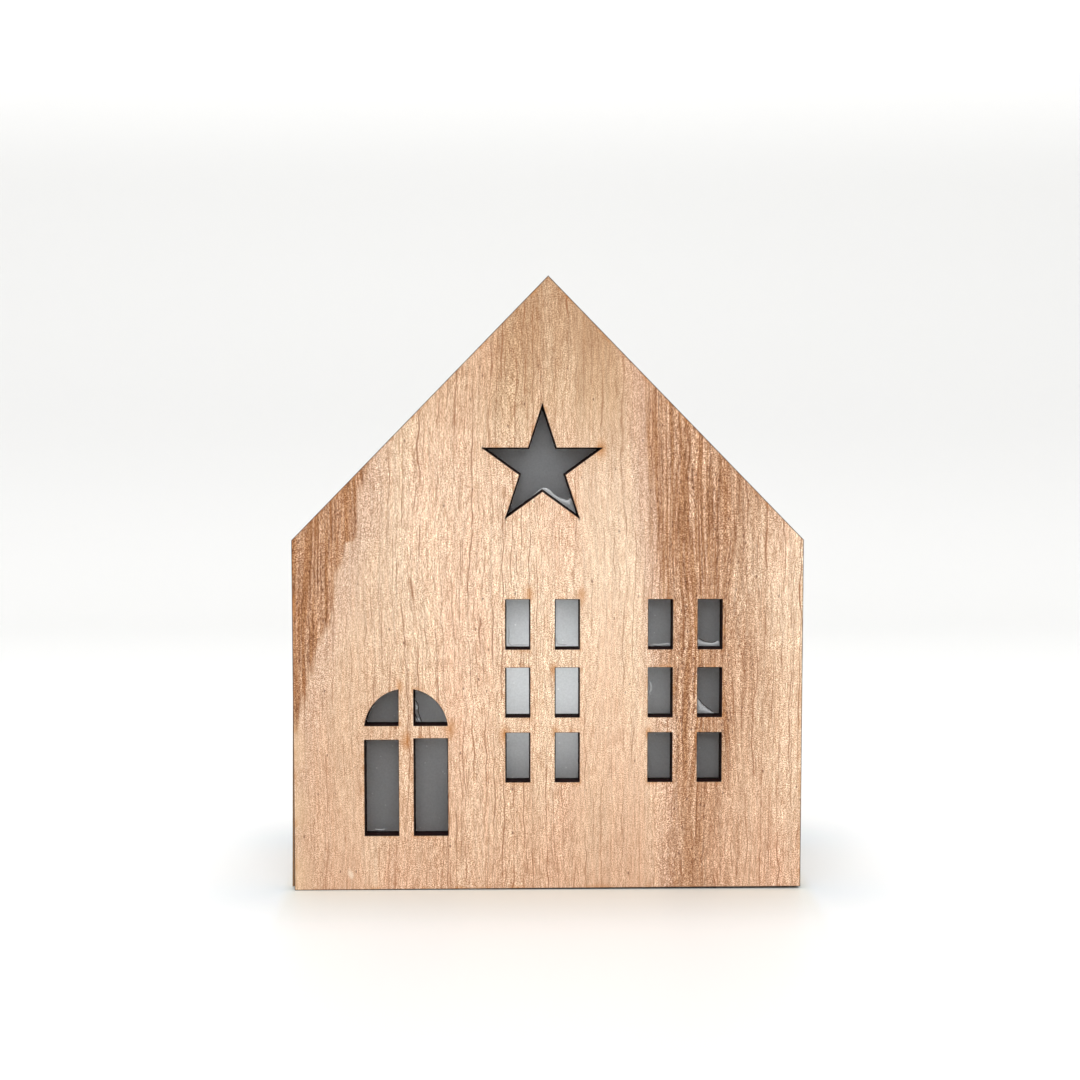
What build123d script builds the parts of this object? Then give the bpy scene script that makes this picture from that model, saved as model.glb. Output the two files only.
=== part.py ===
from build123d import *
import os
from math import atan2, cos, pi, sin, sqrt, tan

# Tealight house: a closed gabled box of thin plywood with window openings cut in its front,
# frosted film behind them, and a battery tealight pushed flame first into the back.
# Millimetres. X is to the right seen from the front, Y to the rear, Z up.
# The origin is on the table, under the middle of the house.

# House shell
house_width = 125.0
eave_height = 86.6
ridge_height = 150.6
house_depth = 50.0
ply = 4.0
wall_lean = 1.0  # the foot of the left wall is glued this far out of line
front_lift = 0.5  # the front's lower right corner is this far off the table

# Frosted film behind the openings
film_thickness = 0.5
film_margin = 1.0

# Windows: two columns of panes beside each other, three rows
pane_width = 5.95
pane_height = 12.2
pane_bar = 6.2
left_window_x = -1.35
right_window_x = 33.6
top_row_z = 59.8
middle_row_z = 43.0
bottom_row_z = 26.9

# Arched door, split by an upright bar and a cross bar
door_x = -34.85
door_width = 20.4
door_height = 36.4
door_bottom = 13.65
door_leaf_height = 24.1
door_left_drop = 0.35  # the left leaf ends this far below the right one
door_bar = 3.8
door_cross_bar = 3.25

# Five-pointed star in the gable
star_x = -1.4
star_z = 104.3
star_radius = 15.25
star_points = 5

# Tealight cup, pushed into the back panel
cup_z = 47.0
cup_diameter = 38.2
cup_front_diameter = 36.6
cup_length = 17.0
cup_wall = 1.0
cup_rim_width = 1.3
cup_rim_round = 0.4
push_clearance = 0.1
dish_depth = 1.8
dish_wall = 1.2
dish_middle_share = 0.62
dish_fall_share = 0.74

# Base cap with its cell well
lip_width = 0.9
lip_thickness = 1.5
lip_round = 0.4
plate_thickness = 2.4
plug_clearance = 0.15
plug_length = 3.6
plug_wall = 1.0
well_wall = 1.0
well_floor = 1.0

# Coin cell and its contacts
cell_diameter = 20.0
cell_thickness = 3.2
cell_round = 0.25
cell_clearance = 0.3
strip_thickness = 0.25
strip_width = 2.0
contact_gap = 0.03
dimple_height = 0.3
dimple_radius = 1.2
strip_reach = 3.5
strip_slack = 0.2

# Battery door and its hinge
battery_door_thickness = 1.2
battery_door_ledge = 0.9
battery_door_gap = 0.1
battery_door_clearance = 0.2
hinge_radius = 0.95
hinge_length = 8.0
hinge_depth = 1.0
hinge_setback = 1.6
hinge_clearance = 0.3
hinge_pin_radius = 0.6
hinge_pin_length = 1.2
hinge_pin_clearance = 0.05
hinge_margin = 0.3
nail_notch_radius = 2.2
nail_notch_depth = 0.9

# Slide switch
switch_travel = 3.0
knob_length = 4.0
knob_width = 2.6
knob_proud = 0.9
knob_clearance = 0.2
knob_groove = 0.45
knob_groove_count = 3
carriage_length = 8.0
carriage_width = 4.4
carriage_thickness = 1.4
slide_clearance = 0.05
rail_clearance = 0.15
rail_width = 0.8
bridge_length = 7.0
plus_x = 0.6
anode_x = -3.4

# Flame lens and the lamp inside it
flame_height = 19.6
flame_neck_radius = 4.25
flame_belly_radius = 5.3
flame_wall = 0.8
flame_hole_clearance = 0.15
flame_flange_radius = 5.7
flame_flange_thickness = 1.0
flame_radius_shares = ((0.16, 0.95), (0.34, 1.0), (0.6, 0.66), (0.84, 0.25))
led_radius = 2.5
led_length = 8.6
led_flange_radius = 2.9
led_flange_thickness = 1.0
led_clearance = 0.1
lead_radius = 0.25
lead_pitch = 2.54
lead_level_gap = 1.2

# One overrun serves every cut
overrun = 1.0

# Round and square pieces of the tealight stand on their lower end
standing = (Align.CENTER, Align.CENTER, Align.MIN)

# Worked-out places of the shell
half_width = house_width / 2
front_face = -house_depth / 2
shell_front = front_face + ply
shell_back = -shell_front
roof_angle = atan2(ridge_height - eave_height, half_width)
inner_half_width = half_width - ply
inner_ridge_z = ridge_height - ply / cos(roof_angle)
inner_eave_z = inner_ridge_z - inner_half_width * tan(roof_angle)

# Worked-out places of the tealight, measured forward from its rear face
rear_face = house_depth / 2 + lip_thickness
cup_radius = cup_diameter / 2
hole_radius = cup_radius + push_clearance
lip_radius = hole_radius + lip_width
cup_front = lip_thickness + cup_length
cup_inner_slope = (cup_diameter - cup_front_diameter) / 2 / cup_length
dish_low = cup_front - dish_depth - dish_wall
plug_end = plate_thickness + plug_length
plug_radius = cup_radius - cup_wall - (plug_end - lip_thickness) * cup_inner_slope - plug_clearance
plug_inner_radius = plug_radius - plug_wall

cell_radius = cell_diameter / 2
well_radius = cell_radius + cell_clearance
well_outer_radius = well_radius + well_wall
battery_door_radius = well_radius + battery_door_ledge
hinge_half_span = hinge_length / 2 + hinge_clearance + hinge_pin_length
hinge_reach = sqrt(plug_inner_radius**2 - hinge_half_span**2)
hinge_y = hinge_reach - hinge_radius - hinge_clearance - hinge_margin
well_y = hinge_y - battery_door_radius
cell_low = battery_door_thickness + battery_door_gap
cell_high = cell_low + cell_thickness
well_floor_low = cell_high + dimple_height + strip_thickness
well_floor_high = well_floor_low + well_floor
lead_level = well_floor_high + lead_level_gap

switch_y = -(plug_inner_radius + well_outer_radius - well_y) / 2
slot_length = knob_length + switch_travel + 2 * knob_clearance
slot_width = knob_width + 2 * knob_clearance
knob_x = -switch_travel / 2
carriage_low = plate_thickness + slide_clearance
carriage_high = carriage_low + carriage_thickness
bridge_high = carriage_high + strip_thickness
foot_low = bridge_high + contact_gap
foot_end_y = switch_y - strip_width / 2
plus_pad_y = well_y - cell_radius - contact_gap

flame_base = dish_low - flame_flange_thickness
led_back = flame_base - led_flange_thickness
tail_y = well_y + strip_reach - strip_thickness / 2


def upright(outline, front, thickness):
    """Stand a flat outline up in the XZ plane and thicken it towards the rear."""
    stand = Plane(origin=(0, front, 0), x_dir=(1, 0, 0), z_dir=(0, -1, 0))
    return extrude(stand * outline, -thickness)


def polygon(*points):
    return make_face(Polyline(*points, close=True))


def drum(radius, low, high, x=0, y=0):
    """A round solid along the tealight's axis."""
    return Pos(x, y, low) * Cylinder(radius, high - low, align=standing)


def block(length, width, low, high, x=0, y=0):
    return Pos(x, y, low) * Box(length, width, high - low, align=standing)


def rod(radius, length):
    """A round bar along X on the battery door's hinge line."""
    return Pos(0, hinge_y, hinge_depth) * Rot(0, 90, 0) * Cylinder(radius, length)


def wire(points):
    """A bent round wire: straight runs with a ball at each bend."""
    shape = None
    for start, end in zip(points, points[1:]):
        run = Vector(*end) - Vector(*start)
        lie = Plane(origin=start, z_dir=run.normalized())
        bar = lie * Cylinder(lead_radius, run.length, align=standing)
        shape = bar if shape is None else shape + bar
    for bend in points[1:-1]:
        shape += Pos(*bend) * Sphere(lead_radius)
    return shape


def house_outline():
    return polygon(
        (-half_width, 0),
        (half_width, 0),
        (half_width, eave_height),
        (0, ridge_height),
        (-half_width, eave_height),
    )


def window_panes():
    panes = []
    for window_x in (left_window_x, right_window_x):
        for side in (-1, 1):
            x = window_x + side * (pane_bar + pane_width) / 2
            for row_z in (bottom_row_z, middle_row_z, top_row_z):
                panes.append(Pos(x, row_z + pane_height / 2) * Rectangle(pane_width, pane_height))
    return panes


def door_opening():
    spring_height = door_height - door_width / 2
    frame = Pos(door_x, door_bottom + spring_height / 2) * Rectangle(door_width, spring_height)
    frame += Pos(door_x, door_bottom + spring_height) * Circle(door_width / 2)
    bar = Pos(door_x, door_bottom + door_height / 2) * Rectangle(door_bar, door_height)
    cross_z = door_bottom + door_leaf_height + door_cross_bar / 2
    cross_bar = Pos(door_x, cross_z) * Rectangle(door_width, door_cross_bar)
    drop_z = door_bottom + door_leaf_height - door_left_drop / 2
    drop = Pos(door_x - door_width / 4, drop_z) * Rectangle(door_width / 2, door_left_drop)
    return frame - bar - cross_bar - drop


def star_opening():
    notch_share = (3 - sqrt(5)) / 2  # straight lines join every second tip
    corners = []
    for step in range(2 * star_points):
        radius = star_radius * (notch_share if step % 2 else 1)
        turn = pi / 2 + step * pi / star_points
        corners.append((star_x + radius * cos(turn), star_z + radius * sin(turn)))
    return polygon(*corners)


def front_panel():
    under = polygon((-half_width, 0), (half_width, 0), (half_width, front_lift))
    outline = house_outline() - under - star_opening() - door_opening()
    for pane in window_panes():
        outline -= pane
    return upright(outline, front_face, ply)


def back_panel():
    outline = house_outline() - Pos(0, cup_z) * Circle(hole_radius)
    return upright(outline, shell_back, ply)


def left_wall_x(z):
    """The inner face of the left wall, which leans out towards its foot."""
    return -inner_half_width - wall_lean * (1 - z / eave_height)


def shell_strips():
    """Walls, roof and floor, mitred at the eaves and the ridge."""
    inner_eave = (inner_half_width, inner_eave_z)
    inner_ridge = (0, inner_ridge_z)
    left_inner_eave = (left_wall_x(inner_eave_z), inner_eave_z)
    outlines = {
        "left_wall": polygon(
            (left_wall_x(0) - ply, 0),
            (left_wall_x(0), 0),
            left_inner_eave,
            (-half_width, eave_height),
        ),
        "right_wall": polygon(
            (half_width, 0),
            (half_width, eave_height),
            inner_eave,
            (inner_half_width, 0),
        ),
        "left_roof": polygon(
            (-half_width, eave_height),
            left_inner_eave,
            inner_ridge,
            (0, ridge_height),
        ),
        "right_roof": polygon(
            (half_width, eave_height),
            (0, ridge_height),
            inner_ridge,
            inner_eave,
        ),
        "floor_panel": polygon(
            (left_wall_x(0), 0),
            (inner_half_width, 0),
            (inner_half_width, ply),
            (left_wall_x(ply), ply),
        ),
    }
    depth = shell_back - shell_front
    return {name: upright(outline, shell_front, depth) for name, outline in outlines.items()}


def window_film():
    """One sheet, glued behind the front panel, a little smaller than the room inside."""
    side = inner_half_width - film_margin
    ridge = inner_ridge_z - film_margin / cos(roof_angle)
    eave = ridge - side * tan(roof_angle)
    foot = ply + film_margin
    sheet = polygon((-side, foot), (side, foot), (side, eave), (0, ridge), (-side, eave))
    return upright(sheet, shell_front, film_thickness)


def tealight_cup():
    front_radius = cup_front_diameter / 2
    cup = Pos(0, 0, lip_thickness) * Cone(cup_radius, front_radius, cup_length, align=standing)
    hollow_length = dish_low - lip_thickness
    hollow_rear_radius = cup_radius - cup_wall
    hollow_front_radius = hollow_rear_radius - hollow_length * cup_inner_slope
    hollow = Cone(hollow_rear_radius, hollow_front_radius, hollow_length, align=standing)
    cup -= Pos(0, 0, lip_thickness) * hollow
    pool_radius = front_radius - cup_rim_width
    pool_edge = (pool_radius, 0, cup_front)
    pool_middle = (pool_radius * dish_middle_share, 0, cup_front - dish_depth * dish_fall_share)
    pool_floor = (0, 0, cup_front - dish_depth)
    above = cup_front + overrun
    pool = Polyline(pool_floor, (0, 0, above), (pool_radius, 0, above), pool_edge)
    pool += ThreePointArc(pool_edge, pool_middle, pool_floor)
    cup -= revolve(make_face(pool), Axis.Z)
    rim = cup.faces().filter_by(Plane.XY).sort_by(Axis.Z)[-1]
    cup = fillet(rim.edges(), cup_rim_round)
    return cup - drum(flame_neck_radius + flame_hole_clearance, dish_low - overrun, cup_front)


def base_cap():
    lip = drum(lip_radius, 0, lip_thickness)
    lip = fillet(lip.edges().sort_by(Axis.Z)[0], lip_round)
    cap = lip + drum(plug_radius, 0, plug_end)
    cap -= drum(plug_inner_radius, plate_thickness, plug_end + overrun)
    cap += drum(well_outer_radius, plate_thickness, well_floor_high, y=well_y)
    cap -= drum(well_radius, -overrun, well_floor_low, y=well_y)
    cap -= drum(battery_door_radius + battery_door_clearance, -overrun, battery_door_thickness, y=well_y)
    # hinge seat: a trough for the knuckle, open to the rear, with a blind hole for each pin
    trough_width = 2 * (hinge_radius + hinge_clearance)
    trough_length = hinge_length + 2 * hinge_clearance
    cap -= rod(trough_width / 2, trough_length)
    cap -= block(trough_length, trough_width, -overrun, hinge_depth, y=hinge_y)
    tab_y = hinge_y - hinge_setback / 2
    cap -= block(trough_length, hinge_setback, -overrun, battery_door_thickness, y=tab_y)
    cap -= rod(hinge_pin_radius + hinge_pin_clearance, 2 * (hinge_half_span + hinge_pin_clearance))
    # nail notch under the free edge of the battery door
    notch_y = well_y - battery_door_radius - battery_door_clearance
    cap -= drum(nail_notch_radius, -overrun, nail_notch_depth, y=notch_y)
    # switch slot and the rails of its carriage
    cap -= block(slot_length, slot_width, -overrun, plate_thickness + overrun, y=switch_y)
    rail_offset = carriage_width / 2 + rail_clearance + rail_width / 2
    for side in (-1, 1):
        rail_y = switch_y + side * rail_offset
        cap += block(carriage_length + switch_travel, rail_width, plate_thickness, carriage_high, y=rail_y)
    # ways out of the well for the two contacts
    notch_width = strip_width + 2 * strip_slack
    notch_low = foot_low - strip_slack
    notch_high = foot_low + strip_thickness + strip_slack
    notch_length = well_outer_radius + overrun - cell_radius
    pad_notch_y = well_y - cell_radius - notch_length / 2
    cap -= block(notch_width, notch_length, plate_thickness, notch_high, x=plus_x, y=pad_notch_y)
    tail_slot = strip_thickness + 2 * strip_slack
    cap -= block(notch_width, tail_slot, notch_low, well_floor_high + overrun, y=tail_y)
    return cap


def battery_door():
    plate = drum(battery_door_radius, 0, battery_door_thickness, y=well_y)
    trim_y = hinge_y - hinge_setback
    size = 2 * battery_door_radius
    plate -= block(size, size, -overrun, battery_door_thickness + overrun, y=trim_y + size / 2)
    plate += block(hinge_length, hinge_setback, 0, battery_door_thickness, y=hinge_y - hinge_setback / 2)
    plate += rod(hinge_radius, hinge_length)
    return plate + rod(hinge_pin_radius, 2 * hinge_half_span)


def coin_cell():
    cell = drum(cell_radius, cell_low, cell_high, y=well_y)
    return fillet(cell.edges().filter_by(GeomType.CIRCLE), cell_round)


def plus_contact():
    """A pad on the rim of the cell and a foot that lies on the switch's bridge."""
    pad_low = plate_thickness + strip_slack
    foot_high = foot_low + strip_thickness
    pad_y = plus_pad_y - strip_thickness / 2
    foot_length = plus_pad_y - foot_end_y
    foot_y = foot_end_y + foot_length / 2
    pad = block(strip_width, strip_thickness, pad_low, foot_high, x=plus_x, y=pad_y)
    return pad + block(strip_width, foot_length, foot_low, foot_high, x=plus_x, y=foot_y)


def minus_contact():
    """A strip on the floor of the well, with a dimple for the cell and a tail into the cup."""
    strip_low = cell_high + dimple_height
    contact = block(strip_width, 2 * strip_reach, strip_low, well_floor_low, y=well_y)
    contact += drum(dimple_radius, cell_high, well_floor_low, y=well_y)
    return contact + block(strip_width, strip_thickness, strip_low, lead_level, y=tail_y)


def switch_knob():
    knob = block(knob_length, knob_width, -knob_proud, carriage_high, x=knob_x, y=switch_y)
    knob += block(carriage_length, carriage_width, carriage_low, carriage_high, x=knob_x, y=switch_y)
    pitch = knob_length / (knob_groove_count + 1)
    for count in range(knob_groove_count):
        groove_x = knob_x + (count + 1) * pitch - knob_length / 2
        knob -= block(
            knob_groove,
            knob_width + overrun,
            -knob_proud - overrun,
            -knob_proud + knob_groove,
            x=groove_x,
            y=switch_y,
        )
    return knob


def switch_contact():
    """The bridge strip that the switch carries."""
    return block(bridge_length, strip_width, carriage_high, bridge_high, x=knob_x, y=switch_y)


def anode_lead():
    lead_x = -lead_pitch / 2
    foot_z = foot_low + lead_radius
    turn_y = switch_y + carriage_width / 2 + rail_clearance + rail_width
    return wire(
        [
            (lead_x, 0, led_back),
            (lead_x, 0, lead_level),
            (anode_x, turn_y, lead_level),
            (anode_x, turn_y, foot_z),
            (anode_x, foot_end_y, foot_z),
        ]
    )


def cathode_lead():
    lead_x = lead_pitch / 2
    end_y = tail_y - strip_thickness / 2 - contact_gap - lead_radius
    high_level = (led_back + lead_level) / 2
    return wire(
        [
            (lead_x, 0, led_back),
            (lead_x, 0, high_level),
            (0, end_y, high_level),
            (0, end_y, lead_level - lead_level_gap / 2),
        ]
    )


def led_bulb():
    dome_z = led_back + led_length - led_radius
    bulb = drum(led_flange_radius, led_back, flame_base)
    return bulb + drum(led_radius, led_back, dome_z) + Pos(0, 0, dome_z) * Sphere(led_radius)


def flame_solid(inset):
    """The drop shape of the flame, or the hollow that lies a wall's thickness inside it."""
    tip = dish_low + flame_height - 2 * inset
    height = tip - dish_low
    foot = (flame_neck_radius - inset, 0, dish_low)
    neck = (flame_neck_radius - inset, 0, dish_low + dish_wall)
    curve = [neck]
    for height_share, radius_share in flame_radius_shares:
        radius = (flame_belly_radius - inset) * radius_share
        curve.append((radius, 0, dish_low + height * height_share))
    curve.append((0, 0, tip))
    side = Spline(*curve, tangents=((0, 0, 1), (-1, 0, 1)))
    outline = Polyline((0, 0, tip), (0, 0, dish_low), foot, neck) + side
    return revolve(make_face(outline), Axis.Z)


def flame_lens():
    lens = flame_solid(0) + drum(flame_flange_radius, flame_base, dish_low)
    lens -= flame_solid(flame_wall)
    return lens - drum(led_radius + led_clearance, flame_base - overrun, dish_low + overrun)


house = {"front_panel": front_panel(), "back_panel": back_panel(), "window_film": window_film()}
house.update(shell_strips())

tealight = {
    "tealight_cup": tealight_cup(),
    "base_cap": base_cap(),
    "battery_door": battery_door(),
    "coin_cell": coin_cell(),
    "plus_contact": plus_contact(),
    "minus_contact": minus_contact(),
    "switch_knob": switch_knob(),
    "switch_contact": switch_contact(),
    "anode_lead": anode_lead(),
    "cathode_lead": cathode_lead(),
    "led_bulb": led_bulb(),
    "flame_lens": flame_lens(),
}
tealight_seat = Pos(0, rear_face, cup_z) * Rot(90, 0, 0)  # flame towards the front of the house

os.makedirs("parts", exist_ok=True)
for name, shape in house.items():
    export_step(shape, f"parts/{name}.step")
for name, shape in tealight.items():
    export_step(tealight_seat * shape, f"parts/{name}.step")
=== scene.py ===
from math import cos, pi, radians, sin

import bmesh
import bpy
import numpy as np
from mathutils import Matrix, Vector, noise
from mathutils.geometry import delaunay_2d_cdt


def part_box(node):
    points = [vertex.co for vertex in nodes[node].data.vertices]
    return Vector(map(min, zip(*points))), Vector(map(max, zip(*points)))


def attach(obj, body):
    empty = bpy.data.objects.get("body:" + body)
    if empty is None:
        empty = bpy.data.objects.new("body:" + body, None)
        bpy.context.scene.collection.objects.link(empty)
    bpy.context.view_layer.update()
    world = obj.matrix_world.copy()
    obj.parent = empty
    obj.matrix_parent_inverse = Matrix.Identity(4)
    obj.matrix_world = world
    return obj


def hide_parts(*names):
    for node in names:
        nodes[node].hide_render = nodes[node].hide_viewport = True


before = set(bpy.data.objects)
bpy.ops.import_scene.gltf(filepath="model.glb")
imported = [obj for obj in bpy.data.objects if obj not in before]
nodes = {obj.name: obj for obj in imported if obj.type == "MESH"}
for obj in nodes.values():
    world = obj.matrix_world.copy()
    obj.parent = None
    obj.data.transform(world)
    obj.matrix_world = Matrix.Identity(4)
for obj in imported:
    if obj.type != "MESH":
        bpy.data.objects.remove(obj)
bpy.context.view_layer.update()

# Tealight house: laser-cut plywood, frosted film behind the openings, a battery tealight in the back.
# Metres, in the part's own frame; patterns are worked out in millimetres.
mm = 0.001
noiseSpan = (0.3, 0.7)     # most values of a fine noise pattern lie between these
cloudSpan = (0.35, 0.65)   # and of a slow one
print("frame loaded:", len(nodes), "nodes")


# small helpers

def linear(hexColour):
    # sRGB hex to the linear colour that shader sockets take
    values = [int(hexColour[i:i + 2], 16) / 255 for i in (1, 3, 5)]
    return tuple(v / 12.92 if v <= 0.04045 else ((v + 0.055) / 1.055) ** 2.4 for v in values) + (1.0,)


def add(tree, kind, *feeds, named=None, **settings):
    # one node with its settings; feeds are values, nodes or sockets for its inputs in order
    made = tree.nodes.new(kind)
    for key, value in settings.items():
        setattr(made, key, value)
    shown = [s for s in made.inputs if s.enabled]
    pairs = list(zip(shown, feeds)) + [(made.inputs[k], v) for k, v in (named or {}).items()]
    for socket, feed in pairs:
        for one in feed if isinstance(feed, list) else [feed]:
            if isinstance(one, bpy.types.Node):
                one = next(s for s in one.outputs if s.enabled)
            if isinstance(one, bpy.types.NodeSocket):
                tree.links.new(one, socket)
            elif one is not None:
                socket.default_value = one
    return made


def newMaterial(name):
    made = bpy.data.materials.new(name)
    made.use_nodes = True
    made.node_tree.nodes.clear()
    return made, made.node_tree


def objectPlace(tree):
    # the piece's own coordinates, in millimetres
    where = add(tree, "ShaderNodeTexCoord").outputs["Object"]
    return add(tree, "ShaderNodeVectorMath", where, (1 / mm,) * 3, operation="MULTIPLY")


def finishMaterial(tree, inputs):
    shader = add(tree, "ShaderNodeBsdfPrincipled", named=inputs)
    add(tree, "ShaderNodeOutputMaterial", shader)


def facesOutward(mesh):
    # turns all faces of a closed mesh outwards and drops points that no face uses
    shell = bmesh.new()
    shell.from_mesh(mesh)
    bmesh.ops.recalc_face_normals(shell, faces=shell.faces)
    loose = [v for v in shell.verts if not v.link_faces]
    bmesh.ops.delete(shell, geom=loose, context="VERTS")
    shell.to_mesh(mesh)
    shell.free()


def newPiece(name, mesh, body, slot, *materials):
    # a finished mesh in the part's frame, riding on a body
    piece = bpy.data.objects.new(name, mesh)
    bpy.context.scene.collection.objects.link(piece)
    for material in materials:
        if material.name not in mesh.materials:
            mesh.materials.append(material)
    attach(piece, body)
    return piece


def dress(nodeName, material):
    mesh = nodes[nodeName].data
    mesh.materials.clear()
    mesh.materials.append(material)


# plywood veneer

veneer = {
    "tones": [  # colour up the sheet, as shares of its height
        (0.0, "#D9AF90"), (0.12, "#DFB898"), (0.3, "#EBC8A8"), (0.52, "#F1D3B5"),
        (0.68, "#E6C5A7"), (0.8, "#D0AC89"), (0.9, "#BD9571"), (1.0, "#B9916E"),
    ],
    "evenTone": "#F1D3B5",   # of the back, walls, roof and floor
    "height": 150.6,
    "span": 100.0,       # mm to each side that a band's edge can reach
    "face": -25.0,       # mm, where the front veneer lies
    "joint": 21.0,       # mm from the middle of a wall or roof strip to its glued edge
    "band": "#AC7951",
    "bandPale": "#DDB595",
    "bandLine": "#774626",
    "sheen": "#CFAA93",
    "vessel": "#965B33",
    "pore": "#63321B",
    "chip": "#F8E4CC",
    "scorch": "#231413",
    "toasted": "#94704C",
    "amber": "#C07C38",
    "golden": "#EAC7A0",
    # noise patterns in mm: size across the grain, through the sheet and along the grain; then detail
    "patterns": {
        "patch": ((15, 15, 60), 1),
        "patchTwo": ((8, 8, 70), 2),
        "fibre": ((0.8, 0.8, 16), 3),
        "speckle": ((0.36, 0.36, 0.5), 1),
        "grit": ((0.21, 0.21, 0.24), 0),
        "dash": ((0.27, 0.27, 2.2), 1),
        "streak": ((0.6, 0.6, 24), 2),
        "bead": ((0.5, 0.5, 1.2), 1),
        "fade": ((2.4, 2.4, 20), 1),
        "fadeFine": ((1.6, 1.6, 11), 1),
        "fadeBand": ((1.2, 1.2, 14), 1),
        "fray": ((1.4, 1.4, 26), 2),
        "burn": ((4, 4, 4), 2),
    },
    "noiseRough": 0.55,
    # how the grain bends, and how vessel lines stray from it: pattern size in mm, then mm to each side
    "bend": ((11, 11, 55), 1.5),
    "strays": [((5, 5, 7), 0.42), ((7, 7, 300), 0.8)],
    "bendSpan": (0.25, 0.75),
    # vessel lines: mm apart, half width of core and of edge in mm, pattern that fades them, strength
    "lines": [(2.3, 0.04, 0.18, "fade", 0.8), (1.55, 0.03, 0.15, "fadeFine", 0.56)],
    "bandLines": (1.05, 0.1, 0.34, "fadeBand", 0.95),
    # how much each fine pattern lightens and darkens plain wood, then the bands and the sheen
    "flecks": [("speckle", 0.14, 0.46), ("grit", 0.58, 0.78), ("dash", 0.3, 0.18)],
    "fleck": (0.7, 0.98, 1.2),   # dark flecks are browner, pale ones creamier
    # open pores: size of their cells in mm, core and edge as shares of a cell, then how many of the
    # cells have one on plain wood and in the bands
    "pores": ((0.9, 30, 1.7), 0.13, 0.3, 0.02, 0.5),
    "poreFrom": 0.3,             # strength of a band from which it has more pores
    "poreShare": 0.75,
    # ranges of noise, or of mm from an edge, and the shares at their two ends
    "patches": [  # pink and cream
        ("patch", "#E9B99B", (0.45, 0.75, 0.0, 0.5)), ("patchTwo", "#F7DFC0", (0.48, 0.75, 0.0, 0.28)),
    ],
    "streaks": (0.42, 0.62, 0.0, 1.0),
    "sheenFull": -0.5,
    "sheenEnd": (-1.2, 0.8, 1.0, 0.0),
    "sheenShare": 0.5,
    "fibreShade": (*noiseSpan, 0.9, 1.08),
    "beads": (0.36, 0.6, 0.2, 1.0),
    "fading": (0.45, 0.6, 0.0, 1.0),
    "halo": (0.1, 1.3, 0.4, 0.0),
    "haloPatches": (0.5, 0.66, 0.0, 1.0),
    "burntLine": (0.03, 0.16, 0.92, 0.0),
    "spotShape": (1.5, 1, 0.75),   # spots are taller than wide
    "spotShare": 0.62,
    "relief": (0.22, 0.06 * mm),   # bump strength and depth
    "roughness": (*noiseSpan, 0.59, 0.74),
    "ior": 1.5, "gloss": 0.35,
}

# dark heartwood bands of the front: each edge as (height, x) points in mm, its softness and fray in mm
frontBands = [
    {
        "left": ([(0, -80), (150, -80)], 1.0, 0.0),
        "right": ([(0, -66), (28, -64), (41, -61.1), (51, -58.6), (57.7, -57.4), (61, -56.1), (67.3, -53.3),
                   (73.9, -51.9), (79.3, -51.2), (83.5, -49.4), (86, -48.8), (87, -46.4), (96, -45.9),
                   (104, -44), (150, -40)], 1.1, 0.9),
        "strength": 1.0, "pale": 0.55, "sheenSide": "right", "sheen": 9.0,
    },
    {
        "left": ([(0, 31), (10, 31.8), (22, 32), (34, 31), (46, 29.4), (58, 28.2), (73, 27.6), (80.5, 27),
                  (90, 25.6), (110, 24), (122, 23.4), (150, 22)], 3.2, 2.4),
        "right": ([(0, 39), (10, 40), (22, 42), (32, 45), (46, 49), (66, 50), (80, 49), (95, 51),
                   (105, 54), (150, 58)], 13.0, 5.0),
        "strength": 0.95, "pale": 0.86, "sheenSide": "left", "sheen": 7.0,
    },
    {
        "left": ([(0, -80), (150, -80)], 1.0, 0.0),
        "right": ([(0, -62), (24, -50), (38, -34), (70, -34), (86, -39), (100, -43), (150, -43)], 9.0, 4.0),
        "strength": 0.2, "pale": 0.18, "sheenSide": "left", "sheen": 1.0,
    },
]

# how strong the grain is across the front, as (x in mm, share); the bands keep all of it
frontGrain = [(-70, 0.72), (-46, 0.72), (-36, 1.0), (3, 1.0), (9, 0.66), (23, 0.66), (28, 1.0), (70, 1.0)]

# amber spots where the beam started or turned, soot in the tips of the star, a golden corner and one
# pale chip: (x, height, radius) in mm
frontSpots = {
    "golden": [(-62.5, 4, 9), (-62.5, 20, 8.5), (-62.5, 35, 8)],
    "scorch": [
        (-1.4, 119.6, 0.8), (-15.95, 109.0, 0.75), (-10.35, 91.9, 0.8), (7.55, 91.9, 0.8),
        (13.1, 109.0, 0.75),
    ],
    "amber": [
        (-4.6, 73.2, 3.0), (8.3, 73.0, 2.8), (1.4, 54.6, 2.4), (-10.8, 38.6, 2.8),
        (-23.9, 40.2, 3.2), (-34.8, 37.2, 3.0), (12.9, 108.6, 3.0), (1.8, 39.0, 2.2),
        (-36.4, 50.8, 2.0), (24.6, 39.0, 1.8),
    ],
    "chip": [(-48.9, 4.3, 1.2), (-48.4, 3.7, 1.1)],
}


def curveThrough(node, points):
    curve = node.mapping.curves[0]
    while len(curve.points) < len(points):
        curve.points.new(0.5, 0.5)
    for spot, place in zip(curve.points, points):
        spot.location = place
        spot.handle_type = "AUTO_CLAMPED"
    node.mapping.update()


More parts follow.
